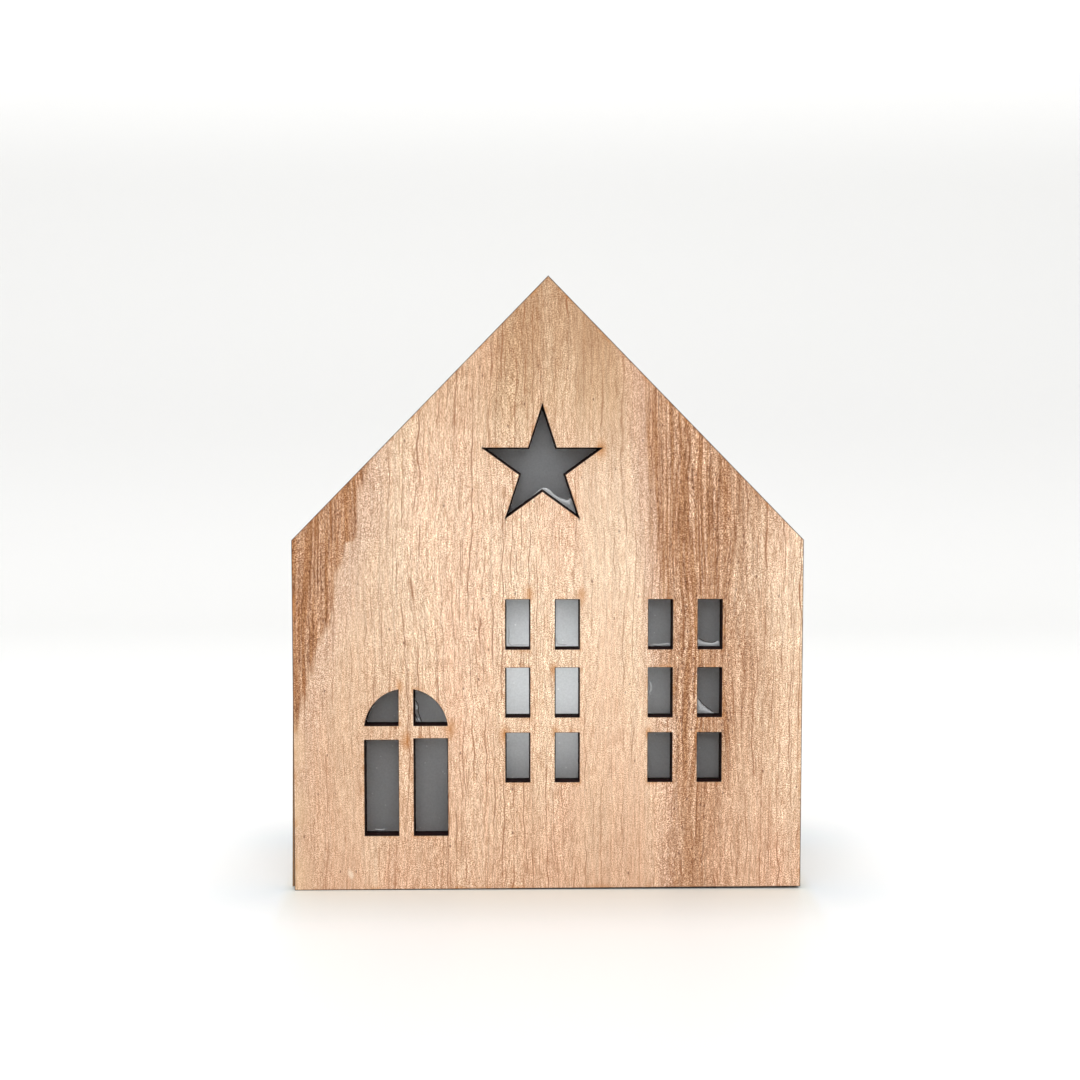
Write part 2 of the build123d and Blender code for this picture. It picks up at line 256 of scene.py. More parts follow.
def plyVeneer(name, turn=(0, 0, 0), place=(0, 0, 0), bands=(), spots=None, strong=None,
              cutGap=None, joint=None, even=False):
    # Rotary-cut veneer, sanded and left raw: a pale pinkish tan with long thin pore lines, fine speckle,
    # darker heartwood streaks and a brown line where the laser passed.
    look = veneer
    made, tree = newMaterial(name)
    where = add(tree, "ShaderNodeTexCoord").outputs["Object"]
    grain = add(tree, "ShaderNodeMapping", where, tuple(place), turn, (1 / mm,) * 3)
    axes = add(tree, "ShaderNodeSeparateXYZ", grain)
    across, along = axes.outputs["X"], axes.outputs["Z"]

    # the grain bends to the sides, and every pattern with it; the vessel lines stray a little more
    moves = []
    for size, reach in [look["bend"]] + look["strays"]:
        scaled = add(tree, "ShaderNodeVectorMath", grain, tuple(1 / s for s in size), operation="MULTIPLY")
        wave = add(tree, "ShaderNodeTexNoise", scaled, 1.0, 1.0)
        moves.append(add(tree, "ShaderNodeMapRange", wave, *look["bendSpan"], -reach, reach))
    aside = add(tree, "ShaderNodeCombineXYZ", moves[0], 0.0, 0.0)
    bent = add(tree, "ShaderNodeVectorMath", grain, aside, operation="ADD")
    lineAcross = add(tree, "ShaderNodeSeparateXYZ", bent).outputs["X"]
    for move in moves[1:]:
        lineAcross = add(tree, "ShaderNodeMath", lineAcross, move, operation="ADD")
    pattern = {}
    for key, (size, detail) in look["patterns"].items():
        scaled = add(tree, "ShaderNodeVectorMath", bent, tuple(1 / s for s in size), operation="MULTIPLY")
        pattern[key] = add(tree, "ShaderNodeTexNoise", scaled, 1.0, float(detail), look["noiseRough"])

    # base tone up the sheet, with broad patches
    share = add(tree, "ShaderNodeMath", along, look["height"], operation="DIVIDE")
    colour = linear(look["evenTone"])
    if not even:
        colour = add(tree, "ShaderNodeValToRGB", share)
        stops = colour.color_ramp.elements
        while len(stops) < len(look["tones"]):
            stops.new(0.5)
        for stop, (position, tone) in zip(stops, look["tones"]):
            stop.position = position
            stop.color = linear(tone)
    for key, tone, span in look["patches"]:
        amount = add(tree, "ShaderNodeMapRange", pattern[key], *span)
        colour = add(tree, "ShaderNodeMix", amount, colour, linear(tone), data_type="RGBA")

    # heartwood bands with a frayed border and a pale sheen beside them
    dark, pale, sheen = 0.0, 0.0, 0.0
    fray = add(tree, "ShaderNodeMapRange", pattern["fray"], *noiseSpan, -1.0, 1.0)
    for band in bands:
        inside, reach = [], {}
        for side, sign in (("left", 1), ("right", -1)):
            points, soft, frayed = band[side]
            edge = add(tree, "ShaderNodeFloatCurve", 1.0, share)
            curveThrough(edge, [(z / look["height"], (x / look["span"] + 1) / 2) for z, x in points])
            edge = add(tree, "ShaderNodeMapRange", edge, 0.0, 1.0, -look["span"], look["span"])
            gap = add(tree, "ShaderNodeMath", across, edge, operation="SUBTRACT")
            gap = add(tree, "ShaderNodeMath", fray, frayed, gap, operation="MULTIPLY_ADD")
            reach[side] = add(tree, "ShaderNodeMath", gap, sign, operation="MULTIPLY")
            inside.append(add(tree, "ShaderNodeMapRange", reach[side], -soft, soft, 0.0, 1.0,
                              interpolation_type="SMOOTHSTEP"))
        mask = add(tree, "ShaderNodeMath", *inside, operation="MULTIPLY")
        part = add(tree, "ShaderNodeMath", mask, band["strength"], operation="MULTIPLY")
        dark = add(tree, "ShaderNodeMath", part, dark, operation="MAXIMUM")
        part = add(tree, "ShaderNodeMath", mask, band["pale"], operation="MULTIPLY")
        pale = add(tree, "ShaderNodeMath", part, pale, operation="MAXIMUM")
        outward = reach[band["sheenSide"]]
        near = add(tree, "ShaderNodeMapRange", outward, -band["sheen"], look["sheenFull"], 0.0, 1.0,
                   interpolation_type="SMOOTHSTEP")
        away = add(tree, "ShaderNodeMapRange", outward, *look["sheenEnd"])
        near = add(tree, "ShaderNodeMath", near, away, operation="MULTIPLY")
        sheen = add(tree, "ShaderNodeMath", near, sheen, operation="MAXIMUM")
    colour = add(tree, "ShaderNodeMix", dark, colour, linear(look["band"]), data_type="RGBA")
    streak = add(tree, "ShaderNodeMapRange", pattern["streak"], *look["streaks"])
    streak = add(tree, "ShaderNodeMath", streak, pale, operation="MULTIPLY")
    colour = add(tree, "ShaderNodeMix", streak, colour, linear(look["bandPale"]), data_type="RGBA")
    amount = add(tree, "ShaderNodeMath", sheen, look["sheenShare"], operation="MULTIPLY")
    colour = add(tree, "ShaderNodeMix", amount, colour, linear(look["sheen"]), data_type="RGBA")

    # fibres and speckle lighten and darken the colour, most in the bands and the sheen
    fibre = add(tree, "ShaderNodeMapRange", pattern["fibre"], *look["fibreShade"])
    colour = add(tree, "ShaderNodeVectorMath", colour, named={3: fibre}, operation="SCALE")
    shown = 1.0
    if strong:
        shown = add(tree, "ShaderNodeMapRange", across, -look["span"], look["span"], 0.0, 1.0)
        shown = add(tree, "ShaderNodeFloatCurve", 1.0, shown)
        curveThrough(shown, [((x / look["span"] + 1) / 2, share) for x, share in strong])
        shown = add(tree, "ShaderNodeMath", shown, dark, operation="MAXIMUM")
    rich = add(tree, "ShaderNodeMath", dark, sheen, operation="MAXIMUM")
    for key, plain, full in look["flecks"]:
        fleck = add(tree, "ShaderNodeMapRange", pattern[key], *noiseSpan, -1.0, 1.0)
        amount = add(tree, "ShaderNodeMapRange", rich, 0.0, 1.0, plain, full)
        amount = add(tree, "ShaderNodeMath", amount, shown, operation="MULTIPLY")
        fleck = add(tree, "ShaderNodeMath", fleck, amount, operation="MULTIPLY")
        fleck = add(tree, "ShaderNodeVectorMath", fleck, look["fleck"], (1, 1, 1), operation="MULTIPLY_ADD")
        colour = add(tree, "ShaderNodeVectorMath", colour, fleck, operation="MULTIPLY")

    # long thin vessel lines that come and go; in the bands they stand close and are beaded by pores
    vessel = 0.0
    bead = add(tree, "ShaderNodeMapRange", pattern["bead"], *look["beads"])
    for spacing, core, edge, fade, strength in look["lines"] + [look["bandLines"]]:
        line = add(tree, "ShaderNodeMath", lineAcross, spacing / 2, operation="PINGPONG")
        line = add(tree, "ShaderNodeMapRange", line, core, edge, strength, 0.0)
        fading = add(tree, "ShaderNodeMapRange", pattern[fade], *look["fading"],
                     interpolation_type="SMOOTHSTEP")
        line = add(tree, "ShaderNodeMath", line, fading, operation="MULTIPLY")
        line = add(tree, "ShaderNodeMath", line, shown, operation="MULTIPLY")
        tone = look["vessel"]
        if fade == "fadeBand":
            line = add(tree, "ShaderNodeMath", line, bead, operation="MULTIPLY")
            line = add(tree, "ShaderNodeMath", line, dark, operation="MULTIPLY")
            tone = look["bandLine"]
        colour = add(tree, "ShaderNodeMix", line, colour, linear(tone), data_type="RGBA")
        vessel = add(tree, "ShaderNodeMath", line, vessel, operation="MAXIMUM")

    # open pores: short dark dashes, thick in the bands
    size, core, edge, few, many = look["pores"]
    cells = add(tree, "ShaderNodeVectorMath", bent, tuple(1 / s for s in size), operation="MULTIPLY")
    cells = add(tree, "ShaderNodeTexVoronoi", cells, 1.0)
    pore = add(tree, "ShaderNodeMapRange", cells, core, edge, 1.0, 0.0)
    chance = add(tree, "ShaderNodeSeparateColor", cells.outputs["Color"])
    often = add(tree, "ShaderNodeMapRange", dark, look["poreFrom"], 1.0, few, many)
    chance = add(tree, "ShaderNodeMath", chance, often, operation="LESS_THAN")
    pore = add(tree, "ShaderNodeMath", pore, chance, operation="MULTIPLY")
    amount = add(tree, "ShaderNodeMath", pore, look["poreShare"], operation="MULTIPLY")
    colour = add(tree, "ShaderNodeMix", amount, colour, linear(look["pore"]), data_type="RGBA")

    # scorch from the laser
    for tone, x, z, radius in [(tone, *spot) for tone in spots or {} for spot in spots[tone]]:
        away = add(tree, "ShaderNodeVectorMath", grain, (x, look["face"], z), operation="SUBTRACT")
        away = add(tree, "ShaderNodeVectorMath", away, look["spotShape"], operation="MULTIPLY")
        away = add(tree, "ShaderNodeVectorMath", away, operation="LENGTH")
        heat = add(tree, "ShaderNodeMapRange", away.outputs["Value"], 0.0, radius, look["spotShare"], 0.0,
                   interpolation_type="SMOOTHSTEP")
        colour = add(tree, "ShaderNodeMix", heat, colour, linear(look[tone]), data_type="RGBA")
    gap = None
    if cutGap:
        gap = add(tree, "ShaderNodeAttribute", attribute_name=cutGap).outputs["Fac"]
    elif joint:
        reach = add(tree, "ShaderNodeMath", across, operation="ABSOLUTE")
        gap = add(tree, "ShaderNodeMath", joint, reach, operation="SUBTRACT")
    if gap:
        halo = add(tree, "ShaderNodeMapRange", gap, *look["halo"], interpolation_type="SMOOTHSTEP")
        patchy = add(tree, "ShaderNodeMapRange", pattern["burn"], *look["haloPatches"])
        halo = add(tree, "ShaderNodeMath", halo, patchy, operation="MULTIPLY")
        colour = add(tree, "ShaderNodeMix", halo, colour, linear(look["amber"]), data_type="RGBA")
        line = add(tree, "ShaderNodeMapRange", gap, *look["burntLine"], interpolation_type="SMOOTHSTEP")
        burnt = look["scorch"] if cutGap else look["toasted"]
        colour = add(tree, "ShaderNodeMix", line, colour, linear(burnt), data_type="RGBA")

    # sanded surface: the pores and vessels are shallow grooves
    groove = add(tree, "ShaderNodeMath", vessel, pore, operation="MAXIMUM")
    relief = add(tree, "ShaderNodeMath", pattern["speckle"], groove, operation="SUBTRACT")
    bump = add(tree, "ShaderNodeBump", *look["relief"], named={"Height": relief})
    rough = add(tree, "ShaderNodeMapRange", pattern["fibre"], *look["roughness"])
    finishMaterial(tree, {
        "Base Color": colour, "Roughness": rough, "Normal": bump, "IOR": look["ior"],
        "Specular IOR Level": look["gloss"],
    })
    return made


cutEdge = {
    "inner": ("#1A0B0A", "#421F18"),   # soot and brown in the openings: char, and darker than round the outline by painted shade for the depth of the openings
    "outer": ("#463023", "#A07A56"),   # and round the outline
    "plyPitch": 1.33,                  # mm, thickness of a layer
    "layers": (-0.4, 0.9, 0.0, 0.5),   # between which parts of a layer it turns brown, and how much
    "ripple": (0.22, 2.0, 0.22),       # mm between the marks of the beam's pulses, drawn as coarse as shows
    "pulses": (1.0, 2.0),              # patterns: 1 / size in mm, detail
    "soot": (1 / 1.42857, 3.0),
    "patchy": (0.35, 0.7, 0.1, 1.0),
    "relief": (0.4, 0.05 * mm),        # bump strength and depth
    "roughness": (0.75, 0.92), "ior": 1.5, "gloss": 0.12,
}


def charredEdge(name, char, brown):
    # Laser-cut plywood edge: matt soot over brown, with the layers and the pulse marks just visible.
    look = cutEdge
    made, tree = newMaterial(name)
    grain = objectPlace(tree)
    axes = add(tree, "ShaderNodeSeparateXYZ", grain)
    layer = add(tree, "ShaderNodeMath", axes.outputs["Y"], pi / look["plyPitch"], operation="MULTIPLY")
    layer = add(tree, "ShaderNodeMath", layer, operation="SINE")
    layer = add(tree, "ShaderNodeMapRange", layer, *look["layers"], interpolation_type="SMOOTHSTEP")
    size = tuple(1 / s for s in look["ripple"])
    pulses = add(tree, "ShaderNodeVectorMath", grain, size, operation="MULTIPLY")
    pulses = add(tree, "ShaderNodeTexNoise", pulses, *look["pulses"])
    soot = add(tree, "ShaderNodeTexNoise", grain, *look["soot"])
    patchy = add(tree, "ShaderNodeMapRange", soot, *look["patchy"])
    amount = add(tree, "ShaderNodeMath", layer, patchy, operation="MULTIPLY")
    colour = add(tree, "ShaderNodeMix", amount, linear(char), linear(brown), data_type="RGBA")
    bump = add(tree, "ShaderNodeBump", *look["relief"], named={"Height": pulses})
    rough = add(tree, "ShaderNodeMapRange", soot, *noiseSpan, *look["roughness"])
    finishMaterial(tree, {
        "Base Color": colour, "Roughness": rough, "Normal": bump, "IOR": look["ior"],
        "Specular IOR Level": look["gloss"],
    })
    return made


# laser-cut sheets: the front and back panels, rebuilt from their outlines with a burnt arris

sheet = {
    "arris": 0.05,                     # mm of edge rounded off by the burn
    "step": 1.0,                       # mm between points along a cut
    "rings": (0.15, 0.4, 0.9, 1.8),   # mm from the cut: rows of points that carry the scorch
    "grid": 4.0,
    "ragged": 0.035,                   # mm of unevenness along a cut
    "raggedPitch": 1.6,
    "outlineBurnAndShade": 0.05,               # mm more of dark line round the outline: burnt arris, and along the foot painted shade where the sheet meets the table
    # mm that a cut narrows towards the back, so that its burnt wall shows all round: first in any
    # opening, then in those that burnt wider, found by their middle (x, height)
    "taper": 0.22,
    "slowCuts": [((-1.4, 105.8), 0.34), ((-40.85, 45.4), 0.25), ((-28.85, 45.4), 0.25)],
    "slowReach": 2.0,                  # mm that such a middle may be off
    "frontward": -0.9,                 # a normal's share along the depth on the front face
    "outlineShare": 0.9,               # a loop this much as high as the sheet is its outline
    "ringShare": 0.97,                 # a row keeps this share of its distance at corners
    "weld": 1e-6,                      # metres
    "same": 1e-5,                      # mm
}


def cutLoops(node):
    # closed outlines (x, z) of the sheet's front face, material on the left of each
    merged = bmesh.new()
    merged.from_mesh(node.data)
    bmesh.ops.remove_doubles(merged, verts=merged.verts, dist=sheet["weld"])
    merged.normal_update()
    links = {}
    for edge in merged.edges:
        facing = [face for face in edge.link_faces if face.normal.y < sheet["frontward"]]
        if len(facing) != 1:
            continue
        face = facing[0]
        for loop in face.loops:   # the face's own direction keeps its material on the left
            if loop.edge == edge:
                start, end = loop.vert, loop.link_loop_next.vert
                links[start.index] = (end.index, (start.co.x, start.co.z))
    merged.free()
    loops = []
    while links:
        key = next(iter(links))
        loop = []
        while key in links:
            key, point = links.pop(key)
            loop.append(point)
        loops.append(np.array(loop))
    return loops


def spacedLoop(loop, step):
    points = []
    for start, end in zip(loop, np.roll(loop, -1, axis=0)):
        pieces = max(1, int(np.ceil(np.linalg.norm(end - start) / step - sheet["weld"])))
        points += [start + (end - start) * i / pieces for i in range(pieces)]
    return np.array(points)


def inwardNormals(loop):
    # mitred normals into the material
    ahead = np.roll(loop, -1, axis=0) - loop
    ahead /= np.linalg.norm(ahead, axis=1)[:, None]
    left = np.stack([-ahead[:, 1], ahead[:, 0]], axis=1)
    before = np.roll(left, 1, axis=0)
    return (left + before) / (1 + np.sum(left * before, axis=1))[:, None]


def isOutline(loop, height):
    return loop[:, 1].max() - loop[:, 1].min() > sheet["outlineShare"] * height


def taperOf(loop):
    low, high = loop.min(axis=0), loop.max(axis=0)
    near = [taper for spot, taper in sheet["slowCuts"]
            if np.linalg.norm((low + high) / 2 - np.array(spot) * mm) < sheet["slowReach"] * mm]
    return near[0] if near else sheet["taper"]


def distanceTo(points, loops):
    best = np.full(len(points), np.inf)
    for loop in loops:
        for start, end in zip(loop, np.roll(loop, -1, axis=0)):
            run = end - start
            along = np.clip((points - start) @ run / (run @ run), 0, 1)
            gap = np.linalg.norm(points - start - along[:, None] * run, axis=1)
            best = np.minimum(best, gap)
    return best


def insideMaterial(points, loops):
    # even-odd count of crossings along +x
    crossings = np.zeros(len(points), int)
    for loop in loops:
        for (x0, z0), (x1, z1) in zip(loop, np.roll(loop, -1, axis=0)):
            if z0 == z1:
                continue
            span = (points[:, 1] > min(z0, z1)) & (points[:, 1] <= max(z0, z1))
            crossings += span & (x0 + (points[:, 1] - z0) * (x1 - x0) / (z1 - z0) > points[:, 0])
    return crossings % 2 == 1


def facePoints(rims, low, high):
    # rows of points beside each cut, then a loose grid over the rest
    look = sheet
    fill = []
    for offset in look["rings"]:
        for rim in rims:
            ring = rim + inwardNormals(rim) * offset * mm
            clear = distanceTo(ring, rims) > look["ringShare"] * offset * mm
            fill.append(ring[insideMaterial(ring, rims) & clear])
    pitch = look["grid"] * mm
    xs, zs = np.arange(low.x, high.x, pitch), np.arange(low.z, high.z, pitch)
    grid = np.array([(x, z) for x in xs for z in zs])
    grid = grid[insideMaterial(grid, rims)]
    fill.append(grid[distanceTo(grid, rims) > (look["rings"][-1] + look["grid"] / 2) * mm])
    return fill


def flatFace(rims, fill):
    # triangles between all points, but none in the openings; place says where each rim point went
    edges, first = [], 0
    for rim in rims:
        edges += [(first + i, first + (i + 1) % len(rim)) for i in range(len(rim))]
        first += len(rim)
    points = np.concatenate(rims + fill)
    flat = delaunay_2d_cdt([Vector(p / mm) for p in points], edges, [], 0, sheet["same"])
    spots = np.array([tuple(v) for v in flat[0]]) * mm
    middles = np.array([spots[list(face)].mean(axis=0) for face in flat[2]])
    kept = insideMaterial(middles, rims)
    faces = [tuple(face) for face, keep in zip(flat[2], kept) if keep]
    place = {}
    for index, sources in enumerate(flat[3]):
        for source in sources:
            place[source] = index
    return spots, faces, place


def cutSheet(name, nodeName, veneerMaterial, tapered):
    look = sheet
    low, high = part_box(nodeName)
    cadLoops = cutLoops(nodes[nodeName])
    rims, cuts, backCuts, outlines = [], [], [], []
    for loop in cadLoops:
        outlines.append(isOutline(loop, high.z - low.z))
        narrow = taperOf(loop) if tapered and not outlines[-1] else 0.0
        loop = spacedLoop(loop, look["step"] * mm)
        normals = inwardNormals(loop)
        wear = [0.5 + 0.5 * noise.noise(Vector((x, 0, z)) / (look["raggedPitch"] * mm)) for x, z in loop]
        cuts.append(loop + normals * (np.array(wear) * look["ragged"] * mm)[:, None])
        backCuts.append(cuts[-1] - normals * narrow * mm)
        rims.append(loop + normals * look["arris"] * mm)
    spots, faces, place = flatFace(rims, facePoints(rims, low, high))

    # front and back face, each point with its distance in mm to the nearest cut
    count = len(spots)
    verts = [(x, low.y, z) for x, z in spots] + [(x, high.y, z) for x, z in spots]
    outer = distanceTo(spots, [rim for rim, isOuter in zip(rims, outlines) if isOuter])
    inner = distanceTo(spots, [rim for rim, isOuter in zip(rims, outlines) if not isOuter])
    # the widened line round the outline also paints the shade along the foot of the sheet
    gaps = list(np.minimum(inner / mm, np.maximum(outer / mm - look["outlineBurnAndShade"], 0))) * 2
    polygons = faces + [tuple(count + i for i in reversed(face)) for face in faces]
    slots = [0] * len(polygons)

    # the walls of the cuts: arris, burnt wall, arris
    first = 0
    for rim, cut, backCut, isOuter in zip(rims, cuts, backCuts, outlines):
        base = len(verts)
        size = len(rim)
        verts += [(x, low.y + look["arris"] * mm, z) for x, z in cut]
        verts += [(x, high.y - look["arris"] * mm, z) for x, z in backCut]
        gaps += [0.0] * (2 * size)
        rows = [
            [place[first + i] for i in range(size)],
            [base + i for i in range(size)],
            [base + size + i for i in range(size)],
            [count + place[first + i] for i in range(size)],
        ]
        for upper, lower in zip(rows, rows[1:]):
            for i in range(size):
                j = (i + 1) % size
                polygons.append((upper[j], upper[i], lower[i], lower[j]))
                slots.append(2 if isOuter else 1)
        first += size

    mesh = bpy.data.meshes.new(name)
    mesh.from_pydata(verts, [], polygons)
    mesh.polygons.foreach_set("material_index", slots)
    mesh.attributes.new("cutGap", "FLOAT", "POINT").data.foreach_set("value", gaps)
    facesOutward(mesh)
    piece = newPiece(name, mesh, "house", "plywood", veneerMaterial, sootAndShadeEdge, outerEdge)
    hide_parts(nodeName)
    print(name, len(mesh.polygons), "faces,", len(cadLoops), "cut loops")


# the walls of the openings take the darker copy, painted shade over their char; the outline takes the
# lighter one
sootAndShadeEdge = charredEdge("sootAndShadePlywoodEdge", *cutEdge["inner"])
outerEdge = charredEdge("brownedPlywoodEdge", *cutEdge["outer"])
frontVeneer = plyVeneer("sandedVeneerFront", bands=frontBands, spots=frontSpots, strong=frontGrain,
                        cutGap="cutGap")
backVeneer = plyVeneer("sandedVeneerBack", place=(310, 0, 95), cutGap="cutGap", even=True)
cutSheet("frontSheet", "front_panel", frontVeneer, True)
cutSheet("backSheet", "back_panel", backVeneer, False)

roofTurn = radians(44.32)
strips = {  # node: turn of the grain, then the place on the veneer in mm
    "left_wall": ((0, 0, pi / 2), (0, 0, 400)),
    "right_wall": ((0, 0, pi / 2), (0, 0, 700)),
    "left_roof": ((0, -roofTurn, pi / 2), (0, 0, 1000)),
    "right_roof": ((0, roofTurn, pi / 2), (0, 0, 1300)),
    "floor_panel": ((0, -pi / 2, pi / 2), (0, 0, 1600)),
}
for nodeName, (turn, place) in strips.items():
    stripVeneer = plyVeneer("sandedVeneer_" + nodeName, turn=turn, place=place, joint=veneer["joint"],
                            even=True)
    dress(nodeName, stripVeneer)
print("plywood dressed")


# frosted film

film = {
    "grey": "#CDD1D5", "dusk": "#C5CACE",
    "frost": (1 / 0.41667, 2.0),      # patterns: 1 / size in mm, detail
    "cloud": (1 / 12.5, 2.0),
    "fleck": (0.9, 1.1),              # how much the frost darkens and lightens
    "dust": (2.6, 0.05, 0.1, 1.65),   # mm between specks, core and edge as shares of that, brightness
    "relief": (0.15, 0.02 * mm),      # bump strength and depth
    "roughness": (0.75, 0.85), "transmission": 0.85, "ior": 1.6, "gloss": 1.0,
}


def frostedFilm(name):
    # Frosted polypropylene sheet: neutral grey by daylight, soft glow where the light stands behind it.
    look = film
    made, tree = newMaterial(name)
    grain = objectPlace(tree)
    frost = add(tree, "ShaderNodeTexNoise", grain, *look["frost"])
    cloud = add(tree, "ShaderNodeTexNoise", grain, *look["cloud"])
    amount = add(tree, "ShaderNodeMapRange", cloud, *cloudSpan, 0.0, 1.0)
    grey, dusk = linear(look["grey"]), linear(look["dusk"])
    colour = add(tree, "ShaderNodeMix", amount, grey, dusk, data_type="RGBA")
    fleck = add(tree, "ShaderNodeMapRange", frost, *noiseSpan, *look["fleck"])
    colour = add(tree, "ShaderNodeVectorMath", colour, named={3: fleck}, operation="SCALE")
    apart, core, edge, bright = look["dust"]
    speck = add(tree, "ShaderNodeTexVoronoi", grain, 1 / apart)
    speck = add(tree, "ShaderNodeMapRange", speck, core, edge, bright, 1.0)
    colour = add(tree, "ShaderNodeVectorMath", colour, named={3: speck}, operation="SCALE")
    bump = add(tree, "ShaderNodeBump", *look["relief"], named={"Height": frost})
    rough = add(tree, "ShaderNodeMapRange", frost, *noiseSpan, *look["roughness"])
    finishMaterial(tree, {
        "Base Color": colour, "Roughness": rough, "Normal": bump, "IOR": look["ior"],
        "Transmission Weight": look["transmission"], "Specular IOR Level": look["gloss"],
    })
    return made


dress("window_film", frostedFilm("frostedFilm"))


# glue that squeezed out onto the film

glue = {
    "colour": "#E2E4E5",
    "soot": "#4A4341",           # painted dark reflection: colour of the beads along the steep edges of the glue, where it mirrors the dark walls of the openings
    "milk": (1 / 1.42857, 2.0),  # pattern: 1 / size in mm, detail
    "relief": (0.3, 0.08 * mm),  # bump strength and depth
    "roughness": (0.1, 0.26), "transmission": 0.18, "ior": 1.47, "gloss": 0.8,
    "step": 0.3,       # mm between points along an outline
    "rim": 0.03,       # mm of thickness at the border of a pool
    "depth": 0.28,     # mm more in the middle
    "reach": 1.1,      # mm from the border to full depth
    "clear": 0.01,     # mm between the glue and the film's face
    "finer": 2,        # times that a pool's face is divided
    "weld": 1e-7,      # metres
    "sides": 12,       # of a bead
    "ends": (0.0, 0.12, 0.3, 1.0),   # how far a bead's ends reach, and how thin they get
    # pools as outlines and beads as paths with a radius, (x, height) in mm on the film
    "pools": [
        [(-4.4, 96.55), (-3, 97.85), (-1.6, 98.95), (-0.5, 99.15), (0.5, 98.6), (1.9, 97.3), (3.5, 96.5),
         (4.9, 96.2), (5.8, 96.6), (6.45, 94.6), (7.05, 92.7), (6, 93.35), (3, 95.5), (0, 97.68),
         (-1.4, 98.7), (-3, 97.55)],
        [(36.8, 61.9), (37.5, 61.6), (38.2, 61.2), (39.3, 60.9), (40.85, 60.75), (42.05, 61.3), (42.5, 61),
         (42.5, 59.95), (39.5, 59.9), (36.8, 59.95)],
        [(36.75, 46.9), (37.4, 46.5), (38.1, 45.6), (39.0, 44.8), (40.3, 43.8), (41.1, 43.25), (40.9, 43.1),
         (38.5, 43.1), (36.8, 43.1), (36.75, 45)],
        [(25.5, 60.25), (26.3, 60.6), (27.2, 60.5), (28.2, 60.45), (29.3, 60.75), (30.1, 60.65),
         (30.1, 60.2), (28, 60.15), (26.4, 60.1)],
        [(24.85, 51.5), (25.6, 50.8), (25.9, 49.75), (25.6, 48.7), (24.9, 48), (25.2, 49),
         (25.3, 49.75), (25.15, 50.5)],
        [(-32.9, 46.2), (-32.5, 45.7), (-32.25, 44.9), (-32.35, 44.3), (-32.8, 44.5)],
        [(-32.7, 41.9), (-32.2, 42.3), (-31.7, 41.8), (-31.5, 41.35), (-32.2, 41.2)],
    ],
    "beads": [
        ([(-9.65, 64.9), (-9.55, 62.9), (-9.65, 61), (-9, 60.3), (-8, 60.35), (-4.6, 60.35)], 0.1),
        ([(2.1, 62.2), (2.25, 61.2), (2.6, 60.55), (4.7, 60.4)], 0.1),
        ([(-42.9, 14.35), (-41.6, 14.2), (-40.2, 14.35)], 0.1),
    ],
    # beads in the darker glue along the pools' steep edges: painted dark reflection
    "paintedReflectionBeads": [
        ([(-32.8, 46.7), (-32.2, 45.9), (-31.95, 44.9), (-32.0, 43.9), (-31.75, 42.8), (-31.35, 41.8),
          (-31.1, 41.1)], 0.1),
        ([(-32.9, 43.6), (-32.55, 42.6), (-32.1, 41.7), (-31.8, 41.1)], 0.08),
        ([(36.8, 47.1), (37.5, 46.7), (38.2, 45.8), (39.1, 45.0), (40.4, 44.0), (41.4, 43.3)], 0.07),
        ([(37.0, 62.0), (37.7, 61.75), (38.4, 61.35), (39.4, 61.05), (40.8, 60.9), (41.9, 61.4)], 0.06),
    ],
}


def clearGlue(name, colour):
    # Dried clear glue: milky under a glossy skin, so that it shows as grey-white smears with a bright rim.
    look = glue
    made, tree = newMaterial(name)
    milk = add(tree, "ShaderNodeTexNoise", objectPlace(tree), *look["milk"])
    rough = add(tree, "ShaderNodeMapRange", milk, *noiseSpan, *look["roughness"])
    bump = add(tree, "ShaderNodeBump", *look["relief"], named={"Height": milk})
    finishMaterial(tree, {
        "Base Color": linear(colour), "Roughness": rough, "Normal": bump, "IOR": look["ior"],
        "Transmission Weight": look["transmission"], "Specular IOR Level": look["gloss"],
    })
    return made


def newTree(name, inputs):
    # an empty Geometry Nodes tree with named inputs, and the sockets that give them
    tree = bpy.data.node_groups.new(name, "GeometryNodeTree")
    tree.interface.new_socket("Geometry", in_out="INPUT", socket_type="NodeSocketGeometry")
    kinds = {int: "NodeSocketInt", float: "NodeSocketFloat", bpy.types.Material: "NodeSocketMaterial"}
    for key, value in inputs.items():
        tree.interface.new_socket(key, in_out="INPUT", socket_type=kinds[type(value)])
    tree.interface.new_socket("Geometry", in_out="OUTPUT", socket_type="NodeSocketGeometry")
    return tree, tree.nodes.new("NodeGroupInput").outputs


def grown(tree, source, inputs):
    # the tree's result on a starting mesh, as a plain closed mesh
    holder = bpy.data.objects.new(tree.name, source)
    bpy.context.scene.collection.objects.link(holder)
    modifier = holder.modifiers.new(tree.name, "NODES")
    modifier.node_group = tree
    for item in tree.interface.items_tree:
        if item.in_out == "INPUT" and item.name in inputs:
            modifier[item.identifier] = inputs[item.name]
    evaluated = holder.evaluated_get(bpy.context.evaluated_depsgraph_get())
    mesh = bpy.data.meshes.new_from_object(evaluated)
    holder.modifiers.remove(modifier)
    bpy.data.objects.remove(holder)
    facesOutward(mesh)
    return mesh


def pathMesh(paths, closed):
    # chains of edges from lists of (x, height) in mm, lying in the local XY plane
    verts, edges = [], []
    for path in paths:
        first, size = len(verts), len(path)
        verts += [(x * mm, z * mm, 0.0) for x, z in path]
        edges += [(first + i, first + (i + 1) % size) for i in range(size if closed else size - 1)]
    mesh = bpy.data.meshes.new("paths")
    mesh.from_pydata(verts, edges, [])
    return mesh


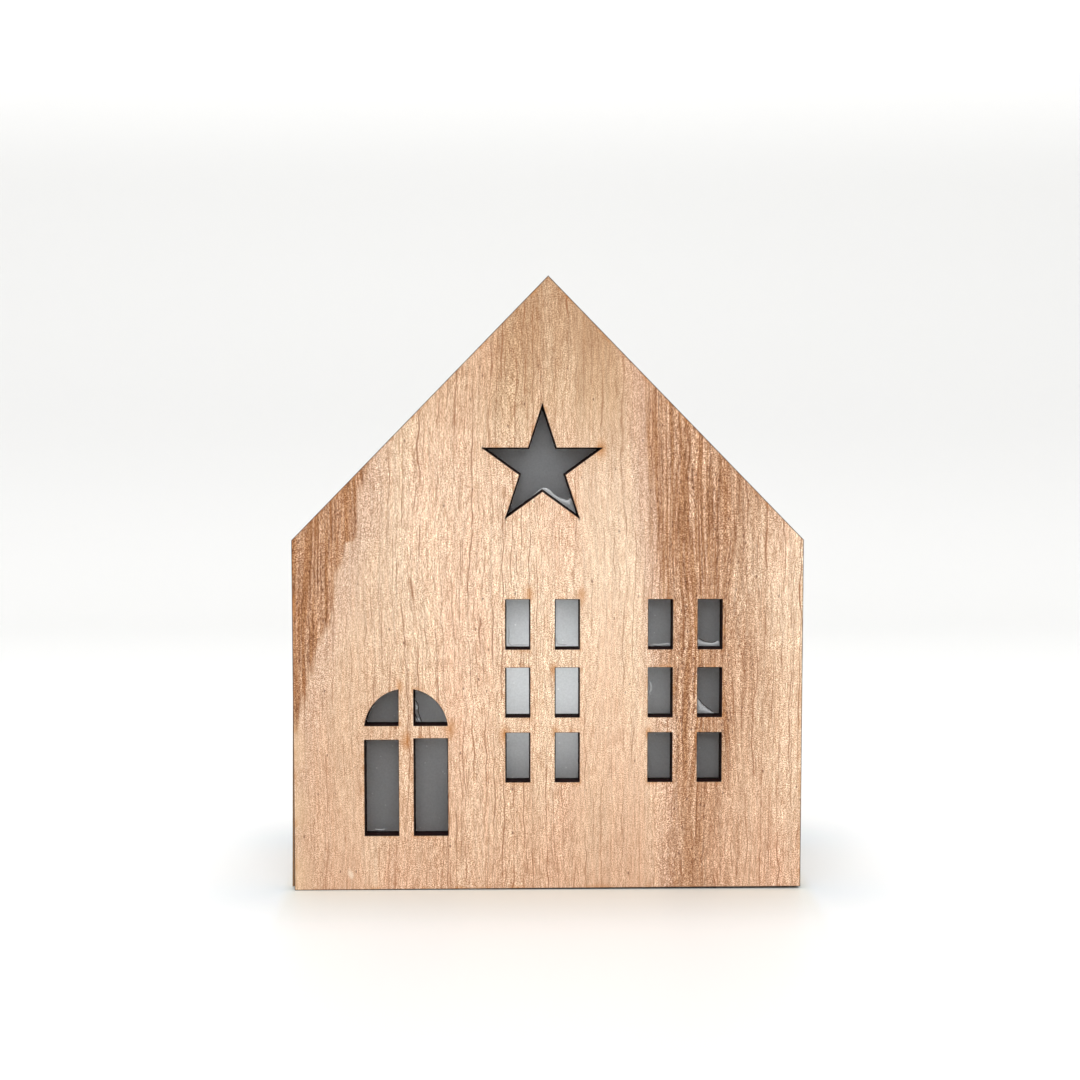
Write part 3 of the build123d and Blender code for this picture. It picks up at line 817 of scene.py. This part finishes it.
def smoothPath(tree, given):
    line = add(tree, "GeometryNodeMeshToCurve", given["Geometry"])
    line = add(tree, "GeometryNodeCurveSplineType", line, spline_type="CATMULL_ROM")
    return add(tree, "GeometryNodeResampleCurve", line, named={"Length": given["Step"]}, mode="LENGTH")


def tube(tree, line, radius, sides, thickness=1.0):
    # a round bar along a line, closed at its ends
    ring = add(tree, "GeometryNodeCurvePrimitiveCircle", sides, named={"Radius": radius})
    return add(tree, "GeometryNodeCurveToMesh", line, ring, thickness, True)


def finishTree(tree, given, shape, upright):
    # turns a flat shape upright onto a plane facing the front, then gives it its material
    if upright is not None:
        place = add(tree, "ShaderNodeCombineXYZ", 0.0, upright, 0.0)
        shape = add(tree, "GeometryNodeTransform", shape, place, (pi / 2, 0, 0))
    shape = add(tree, "GeometryNodeRealizeInstances", shape)
    shape = add(tree, "GeometryNodeSetMaterial", shape, named={"Material": given["Material"]})
    add(tree, "NodeGroupOutput", shape)


def gluePools(material):
    look = glue
    inputs = {
        "Step": look["step"] * mm, "Rim": look["rim"] * mm, "Depth": look["depth"] * mm,
        "Reach": look["reach"] * mm, "Face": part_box("window_film")[0].y - look["clear"] * mm,
        "Material": material,
    }
    tree, given = newTree("gluePools", inputs)
    outline = smoothPath(tree, given)
    flat = add(tree, "GeometryNodeFillCurve", outline)
    flat = add(tree, "GeometryNodeSubdivideMesh", flat, look["finer"])
    raised = add(tree, "GeometryNodeExtrudeMesh", flat, named={
        "Offset": (0, 0, 1), "Offset Scale": given["Rim"], "Individual": False,
    })
    border = add(tree, "GeometryNodeCurveToMesh", outline)
    away = add(tree, "GeometryNodeProximity", border, target_element="EDGES").outputs["Distance"]
    swell = add(tree, "ShaderNodeMapRange", away, given["Rim"], given["Reach"], 0.0, given["Depth"],
                interpolation_type="SMOOTHSTEP")
    swell = add(tree, "ShaderNodeCombineXYZ", 0.0, 0.0, swell)
    domed = add(tree, "GeometryNodeSetPosition", raised, raised.outputs["Top"], named={"Offset": swell})
    under = add(tree, "GeometryNodeFlipFaces", flat)
    whole = add(tree, "GeometryNodeJoinGeometry", [domed, under])
    whole = add(tree, "GeometryNodeMergeByDistance", whole, named={"Distance": look["weld"]})
    finishTree(tree, given, whole, given["Face"])
    return grown(tree, pathMesh(look["pools"], True), inputs)


def glueBeads(beads, material):
    look = glue
    made = []
    for path, radius in beads:
        inputs = {
            "Step": look["step"] * mm, "Radius": radius * mm,
            "Face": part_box("window_film")[0].y - look["clear"] * mm, "Material": material,
        }
        tree, given = newTree("glueBead", inputs)
        line = smoothPath(tree, given)
        share = add(tree, "GeometryNodeSplineParameter").outputs["Factor"]
        rest = add(tree, "ShaderNodeMath", 1.0, share, operation="SUBTRACT")
        taper = add(tree, "ShaderNodeMath", share, rest, operation="MULTIPLY")
        taper = add(tree, "ShaderNodeMapRange", taper, *look["ends"])
        bead = tube(tree, line, given["Radius"], look["sides"], taper)
        lift = add(tree, "ShaderNodeCombineXYZ", 0.0, 0.0, given["Radius"])
        bead = add(tree, "GeometryNodeSetPosition", bead, named={"Offset": lift})
        finishTree(tree, given, bead, given["Face"])
        made.append(grown(tree, pathMesh([path], False), inputs))
    return made


def joined(name, meshes):
    whole = bmesh.new()
    for mesh in meshes:
        whole.from_mesh(mesh)
    bmesh.ops.triangulate(whole, faces=whole.faces)
    mesh = bpy.data.meshes.new(name)
    whole.to_mesh(mesh)
    whole.free()
    return mesh


driedGlue = clearGlue("driedClearGlue", glue["colour"])
paintedReflectionGlue = clearGlue("driedGlueWithPaintedReflection", glue["soot"])
smears = joined("glueSmears", [gluePools(driedGlue)] + glueBeads(glue["beads"], driedGlue))
smears.shade_smooth()
newPiece("glueSmears", smears, "house", "clear_resin", driedGlue)
# lines of painted dark reflection along the steep edges of the glue pools
smears = joined("paintedReflectionGlueLines", glueBeads(glue["paintedReflectionBeads"], paintedReflectionGlue))
smears.shade_smooth()
newPiece("paintedReflectionGlueLines", smears, "house", "clear_resin", paintedReflectionGlue)
print("film and glue done")


# tealight

plastic = {
    # colour, the shade that it drifts to, roughness
    "white": ("#EAE8E3", "#E6E3DC", 0.42),
    "grey": ("#3A3B3E", "#323336", 0.5),
    "flame": ("#F0EBDD", "#EDE6D2", 0.38),
    "flow": (1 / 8.33333, 2.0),     # patterns: 1 / size in mm, detail
    "spark": (1 / 0.3125, 2.0),     # drawn as coarse as shows
    "relief": (0.12, 0.03 * mm),    # bump strength and depth
    "spread": 0.06,                 # of the roughness, to each side
    "ior": 1.49,
    "glow": "#FFFCF8",
    # the lamp's light: strength, mm to the rear where it starts and has faded, heights in mm where it rises
    "cupGlow": (2.33, 10.5, 16.0, 28.0, 66.0),
    "flameGlow": (1.2, 20.0, 60.0, 28.0, 66.0),
    "glowRise": (0.6, 1.5),         # share of it at the lower and at the upper height
    "glowFacing": (0.02, -0.4),     # a normal's share along the depth: none at the first, all at the second
}


def mouldedPlastic(name, colour, shade, roughness, glow=None):
    # Injection-moulded polypropylene: even colour, fine spark-eroded texture, soft gloss.
    look = plastic
    made, tree = newMaterial(name)
    grain = objectPlace(tree)
    flow = add(tree, "ShaderNodeTexNoise", grain, *look["flow"])
    amount = add(tree, "ShaderNodeMapRange", flow, *cloudSpan, 0.0, 1.0)
    tone = add(tree, "ShaderNodeMix", amount, linear(colour), linear(shade), data_type="RGBA")
    spark = add(tree, "ShaderNodeTexNoise", grain, *look["spark"])
    bump = add(tree, "ShaderNodeBump", *look["relief"], named={"Height": spark})
    smooth, coarse = roughness - look["spread"], roughness + look["spread"]
    rough = add(tree, "ShaderNodeMapRange", spark, *noiseSpan, smooth, coarse)
    inputs = {"Base Color": tone, "Roughness": rough, "Normal": bump, "IOR": look["ior"]}
    if glow:
        strength, start, faded, low, high = glow
        spot = add(tree, "ShaderNodeSeparateXYZ", grain)
        lit = add(tree, "ShaderNodeMapRange", spot.outputs["Y"], start, faded, strength, 0.0)
        rise = add(tree, "ShaderNodeMapRange", spot.outputs["Z"], low, high, *look["glowRise"])
        lit = add(tree, "ShaderNodeMath", lit, rise, operation="MULTIPLY")
        facing = add(tree, "ShaderNodeNewGeometry").outputs["Normal"]
        facing = add(tree, "ShaderNodeSeparateXYZ", facing).outputs["Y"]
        facing = add(tree, "ShaderNodeMapRange", facing, *look["glowFacing"], 0.0, 1.0)
        lit = add(tree, "ShaderNodeMath", lit, facing, operation="MULTIPLY")
        inputs.update({"Emission Color": linear(look["glow"]), "Emission Strength": lit})
    finishMaterial(tree, inputs)
    return made


steel = {
    # colour, roughness, mm of the drawn lines along the three axes
    "plated": ("#C9C7C2", 0.28, (0.2, 3.0, 3.0)),
    "tin": ("#D2D3D4", 0.3, (0.4, 0.4, 0.4)),
    "cell": ("#CFCFD0", 0.26, (8.0, 0.3, 0.15)),
    "lines": (1.0, 3.0),            # pattern: scale, detail
    "shade": (0.82, 1.05),          # how much the lines darken and lighten
    "spread": (-0.08, 0.1),         # of the roughness
    "relief": (0.2, 0.01 * mm),     # bump strength and depth
}


def metal(name, colour, roughness, stretch):
    # Rolled or drawn metal: bright, with fine lines along the way it was drawn.
    look = steel
    made, tree = newMaterial(name)
    size = tuple(1 / s for s in stretch)
    lines = add(tree, "ShaderNodeVectorMath", objectPlace(tree), size, operation="MULTIPLY")
    lines = add(tree, "ShaderNodeTexNoise", lines, *look["lines"])
    tone = add(tree, "ShaderNodeMapRange", lines, *noiseSpan, *look["shade"])
    tone = add(tree, "ShaderNodeVectorMath", linear(colour)[:3], named={3: tone}, operation="SCALE")
    smooth, coarse = (roughness + change for change in look["spread"])
    rough = add(tree, "ShaderNodeMapRange", lines, *noiseSpan, smooth, coarse)
    bump = add(tree, "ShaderNodeBump", *look["relief"], named={"Height": lines})
    finishMaterial(tree, {"Base Color": tone, "Metallic": 1.0, "Roughness": rough, "Normal": bump})
    return made


lampResin = {
    "colour": "#F3EFD9",
    "haze": (1 / 1.66667, 1.0),     # pattern: 1 / size in mm, detail
    "glow": (1.35, 1.65),           # light at the pattern's low and high values
    "roughness": (0.08, 0.16), "transmission": 0.6, "ior": 1.54,
}


def clearResin(name):
    # Cast epoxy of the lamp: clear and glossy, glowing from the chip inside.
    look = lampResin
    made, tree = newMaterial(name)
    haze = add(tree, "ShaderNodeTexNoise", objectPlace(tree), *look["haze"])
    rough = add(tree, "ShaderNodeMapRange", haze, *noiseSpan, *look["roughness"])
    glow = add(tree, "ShaderNodeMapRange", haze, *noiseSpan, *look["glow"])
    finishMaterial(tree, {
        "Base Color": linear(look["colour"]), "Roughness": rough, "IOR": look["ior"],
        "Transmission Weight": look["transmission"],
        "Emission Color": linear(plastic["glow"]), "Emission Strength": glow,
    })
    return made


cupWhite = mouldedPlastic("mouldedPolypropyleneCup", *plastic["white"], glow=plastic["cupGlow"])
capWhite = mouldedPlastic("mouldedPolypropylene", *plastic["white"])
knobGrey = mouldedPlastic("mouldedAbsGrey", *plastic["grey"])
flameWhite = mouldedPlastic("frostedFlamePlastic", *plastic["flame"], glow=plastic["flameGlow"])
dress("tealight_cup", cupWhite)
dress("base_cap", capWhite)
dress("battery_door", capWhite)
dress("switch_knob", knobGrey)
dress("flame_lens", flameWhite)
dress("led_bulb", clearResin("castEpoxyLamp"))
for nodeName in ("plus_contact", "minus_contact", "switch_contact"):
    dress(nodeName, metal("nickelPlatedStrip_" + nodeName, *steel["plated"]))
for nodeName in ("anode_lead", "cathode_lead"):
    dress(nodeName, metal("tinnedWire_" + nodeName, *steel["tin"]))
dress("coin_cell", metal("brushedCellSteel", *steel["cell"]))


# grip ribs on the battery door, and the marks beside the switch

grip = {  # mm
    "count": 5, "pitch": 1.5, "length": 9.0, "radius": 0.34, "sides": 16,
    "proud": 0.22,      # how far the ribs stand out
    "lowest": 43.6,
}


def gripRibs(material):
    look = grip
    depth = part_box("battery_door")[1].y + (look["proud"] - look["radius"]) * mm
    inputs = {
        "Count": look["count"], "Pitch": look["pitch"] * mm, "Half length": look["length"] / 2 * mm,
        "Radius": look["radius"] * mm, "Depth": depth, "Lowest": look["lowest"] * mm, "Material": material,
    }
    tree, given = newTree("gripRibs", inputs)
    start = add(tree, "ShaderNodeCombineXYZ", 0.0, given["Depth"], given["Lowest"])
    step = add(tree, "ShaderNodeCombineXYZ", 0.0, 0.0, given["Pitch"])
    spots = add(tree, "GeometryNodeMeshLine", given["Count"], start, step)
    left = add(tree, "ShaderNodeMath", given["Half length"], -1.0, operation="MULTIPLY")
    left = add(tree, "ShaderNodeCombineXYZ", left, 0.0, 0.0)
    right = add(tree, "ShaderNodeCombineXYZ", given["Half length"], 0.0, 0.0)
    line = add(tree, "GeometryNodeCurvePrimitiveLine", left, right)
    bar = tube(tree, line, given["Radius"], look["sides"])
    ribs = add(tree, "GeometryNodeInstanceOnPoints", spots, named={"Instance": bar})
    finishTree(tree, given, ribs, None)
    return grown(tree, bpy.data.meshes.new("empty"), inputs)


newPiece("gripRibs", gripRibs(capWhite), "battery_door", "white_plastic", capWhite)

marks = {  # (x, height) in mm
    "bar": [(-7.6, 33.5), (-7.6, 35.5)],
    "ring": (5.0, 34.5, 0.95),     # and its radius
    "ringPoints": 24,
    "radius": 0.14, "sides": 12,   # of the raised line
    "sink": 0.05,
}


def switchMarks(material):
    # raised I and O beside the slot, as on most switches
    look = marks
    x, z, reach = look["ring"]
    turns = [2 * pi * i / look["ringPoints"] for i in range(look["ringPoints"])]
    ringPath = [(x + reach * cos(turn), z + reach * sin(turn)) for turn in turns]
    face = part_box("base_cap")[1].y - look["sink"] * mm
    inputs = {"Radius": look["radius"] * mm, "Face": face, "Material": material}
    made = []
    for path, closed in ((look["bar"], False), (ringPath, True)):
        tree, given = newTree("switchMark", inputs)
        line = add(tree, "GeometryNodeMeshToCurve", given["Geometry"])
        mark = tube(tree, line, given["Radius"], look["sides"])
        finishTree(tree, given, mark, given["Face"])
        made.append(grown(tree, pathMesh([path], closed), inputs))
    return joined("switchMarks", made)


newPiece("switchMarks", switchMarks(knobGrey), "tealight", "grey_plastic", knobGrey)
print("tealight dressed")


# stage: white paper sweep, soft light, camera

stage = {
    # the sweep's profile in metres
    "front": -2.0, "floor": (-0.4, 0.3), "bend": 0.5, "radius": 0.25, "top": 2.0, "halfWidth": 2.5,
    "bendSteps": 12,
    "paper": "#F4F4F3",
    "paintedShadeFront": "#EFF2ED",          # painted shade close to the house, in front of it and beside it, kept cool against the warm light the wood throws on the paper
    "paintedShadeSide": "#ECF1F3",
    "tint": "#FFFFFF",               # of the lift, far from the house and close to it, where it is a painted cool light against the wood's warm bounce
    "paintedCoolLight": "#C9E2FF",
    "foot": (0.0635, 0.025, 10.0),   # half the house's width and depth, and more than any height
    "nearReach": 0.04,               # metres from the house to plain paper
    "sideSoft": (-0.001, 0.003),     # metres past the house's side where the side paper starts and is full
    # brightness added for the camera, and the metres to the rear or up between which it changes; it fades
    # out towards the house, which paints shade round its foot, and sideLift leaves a darker painted strip
    # in front of it
    "floorLift": 0.13, "sideLift": 0.07, "bendLift": 0.085, "topLift": 0.16,
    "bendPlace": (0.2, 0.5), "lowPlace": (0.0, 0.12), "highPlace": (0.26, 0.37),
    "roughness": 0.4, "ior": 1.4, "gloss": 0.3,
    "sky": "#FFFFFF", "skyStrength": 0.82, "skySeen": 1.0,   # what it lights with, and how bright it looks
    "keyPower": 9.0, "keySize": 1.2, "keyPlace": (-0.09, -1.1, 1.15), "keyAim": (0.0, 0.0, 0.07),
}


def satinPaper(name):
    # Satin white paper: soft reflections of what stands on it, clean white towards the camera, and painted
    # shade with a painted cool tint round the house's foot.
    look = stage
    made, tree = newMaterial(name)
    where = add(tree, "ShaderNodeTexCoord").outputs["Object"]
    axes = add(tree, "ShaderNodeSeparateXYZ", where)
    away = add(tree, "ShaderNodeVectorMath", where, operation="ABSOLUTE")
    away = add(tree, "ShaderNodeVectorMath", away, look["foot"], operation="SUBTRACT")
    away = add(tree, "ShaderNodeVectorMath", away, (0, 0, 0), operation="MAXIMUM")
    away = add(tree, "ShaderNodeVectorMath", away, operation="LENGTH").outputs["Value"]
    # the lift fades out towards the house: painted shade round its foot, over its real shadow; beside the
    # house sideLift adds more, so a darker painted strip stays in front of it
    near = add(tree, "ShaderNodeMapRange", away, 0.0, look["nearReach"], 0.0, look["floorLift"],
               interpolation_type="SMOOTHSTEP")
    start, full = (look["foot"][0] + past for past in look["sideSoft"])
    side = add(tree, "ShaderNodeMath", axes.outputs["X"], operation="ABSOLUTE")
    side = add(tree, "ShaderNodeMapRange", side, start, full, 0.0, 1.0, interpolation_type="SMOOTHSTEP")
    near = add(tree, "ShaderNodeMath", side, look["sideLift"], near, operation="MULTIPLY_ADD")
    far = add(tree, "ShaderNodeMapRange", away, 0.0, look["nearReach"], 0.0, 1.0)
    # close to the house the paper takes painted cool shade and the lift a painted cool light, against the
    # warm light that the wood throws on the paper
    tone = {key: linear(look[key]) for key in ("paper", "paintedShadeFront", "paintedShadeSide", "tint", "paintedCoolLight")}
    tint = add(tree, "ShaderNodeMix", far, tone["paintedCoolLight"], tone["tint"], data_type="RGBA")
    paper = add(tree, "ShaderNodeMix", side, tone["paintedShadeFront"], tone["paintedShadeSide"], data_type="RGBA")
    paper = add(tree, "ShaderNodeMix", far, paper, tone["paper"], data_type="RGBA")
    depth = add(tree, "ShaderNodeMapRange", axes.outputs["Y"], *look["bendPlace"], near, look["bendLift"])
    low = add(tree, "ShaderNodeMapRange", axes.outputs["Z"], *look["lowPlace"], 1.0, 0.0,
              interpolation_type="SMOOTHSTEP")
    high = add(tree, "ShaderNodeMapRange", axes.outputs["Z"], *look["highPlace"], 0.0, look["topLift"],
               interpolation_type="SMOOTHSTEP")
    lift = add(tree, "ShaderNodeMath", depth, low, high, operation="MULTIPLY_ADD")
    seen = add(tree, "ShaderNodeLightPath").outputs["Is Camera Ray"]
    lift = add(tree, "ShaderNodeMath", lift, seen, operation="MULTIPLY")
    finishMaterial(tree, {
        "Base Color": paper, "Roughness": look["roughness"], "IOR": look["ior"],
        "Specular IOR Level": look["gloss"], "Emission Color": tint, "Emission Strength": lift,
    })
    return made


def paperSweep():
    look = stage
    profile = [(y, 0.0) for y in (look["front"], *look["floor"])]
    for step in range(look["bendSteps"] + 1):
        turn = step / look["bendSteps"] * pi / 2
        profile.append((look["bend"] + look["radius"] * sin(turn), look["radius"] * (1 - cos(turn))))
    profile.append((look["bend"] + look["radius"], look["top"]))
    verts = [(side * look["halfWidth"], y, z) for y, z in profile for side in (-1, 1)]
    faces = [(2 * i, 2 * i + 1, 2 * i + 3, 2 * i + 2) for i in range(len(profile) - 1)]
    mesh = bpy.data.meshes.new("paperSweep")
    mesh.from_pydata(verts, [], faces)
    mesh.shade_smooth()
    mesh.materials.append(satinPaper("satinPaper"))
    sweep = bpy.data.objects.new("paperSweep", mesh)
    bpy.context.scene.collection.objects.link(sweep)


def softLight():
    look = stage
    world = bpy.data.worlds.new("softRoom")
    bpy.context.scene.world = world
    world.use_nodes = True
    tree = world.node_tree
    tree.nodes.clear()
    path = add(tree, "ShaderNodeLightPath").outputs
    seen = add(tree, "ShaderNodeMath", path["Is Camera Ray"], path["Is Glossy Ray"], operation="MAXIMUM")
    seen = add(tree, "ShaderNodeMath", seen, path["Is Transmission Ray"], operation="MAXIMUM")
    light = add(tree, "ShaderNodeBackground", linear(look["sky"]), look["skyStrength"])
    backdrop = add(tree, "ShaderNodeBackground", linear(look["sky"]), look["skySeen"])
    mixed = add(tree, "ShaderNodeMixShader", seen, light, backdrop)
    add(tree, "ShaderNodeOutputWorld", mixed)
    lamp = bpy.data.lights.new("softBox", "AREA")
    lamp.energy = look["keyPower"]
    lamp.size = look["keySize"]
    key = bpy.data.objects.new("softBox", lamp)
    key.location = look["keyPlace"]
    aim = Vector(look["keyAim"]) - key.location
    key.rotation_euler = aim.to_track_quat("-Z", "Y").to_euler()
    bpy.context.scene.collection.objects.link(key)


view = {
    "place": (-0.0091, -0.4711, 0.1198), "near": 0.01,   # metres
    "down": 4.254, "right": 0.914,                       # degrees
    "lens": 61.2, "sensor": 36.0,                        # mm
}


def photoCamera():
    look = view
    camera = bpy.data.cameras.new("frontCamera")
    camera.lens = look["lens"]
    camera.sensor_width = look["sensor"]
    camera.clip_start = look["near"]
    holder = bpy.data.objects.new("frontCamera", camera)
    holder.location = look["place"]
    holder.rotation_euler = (radians(90 - look["down"]), 0, radians(-look["right"]))
    bpy.context.scene.collection.objects.link(holder)
    bpy.context.scene.camera = holder


paperSweep()
softLight()
photoCamera()
bpy.context.scene.view_settings.view_transform = "Standard"
print("stage and camera set")
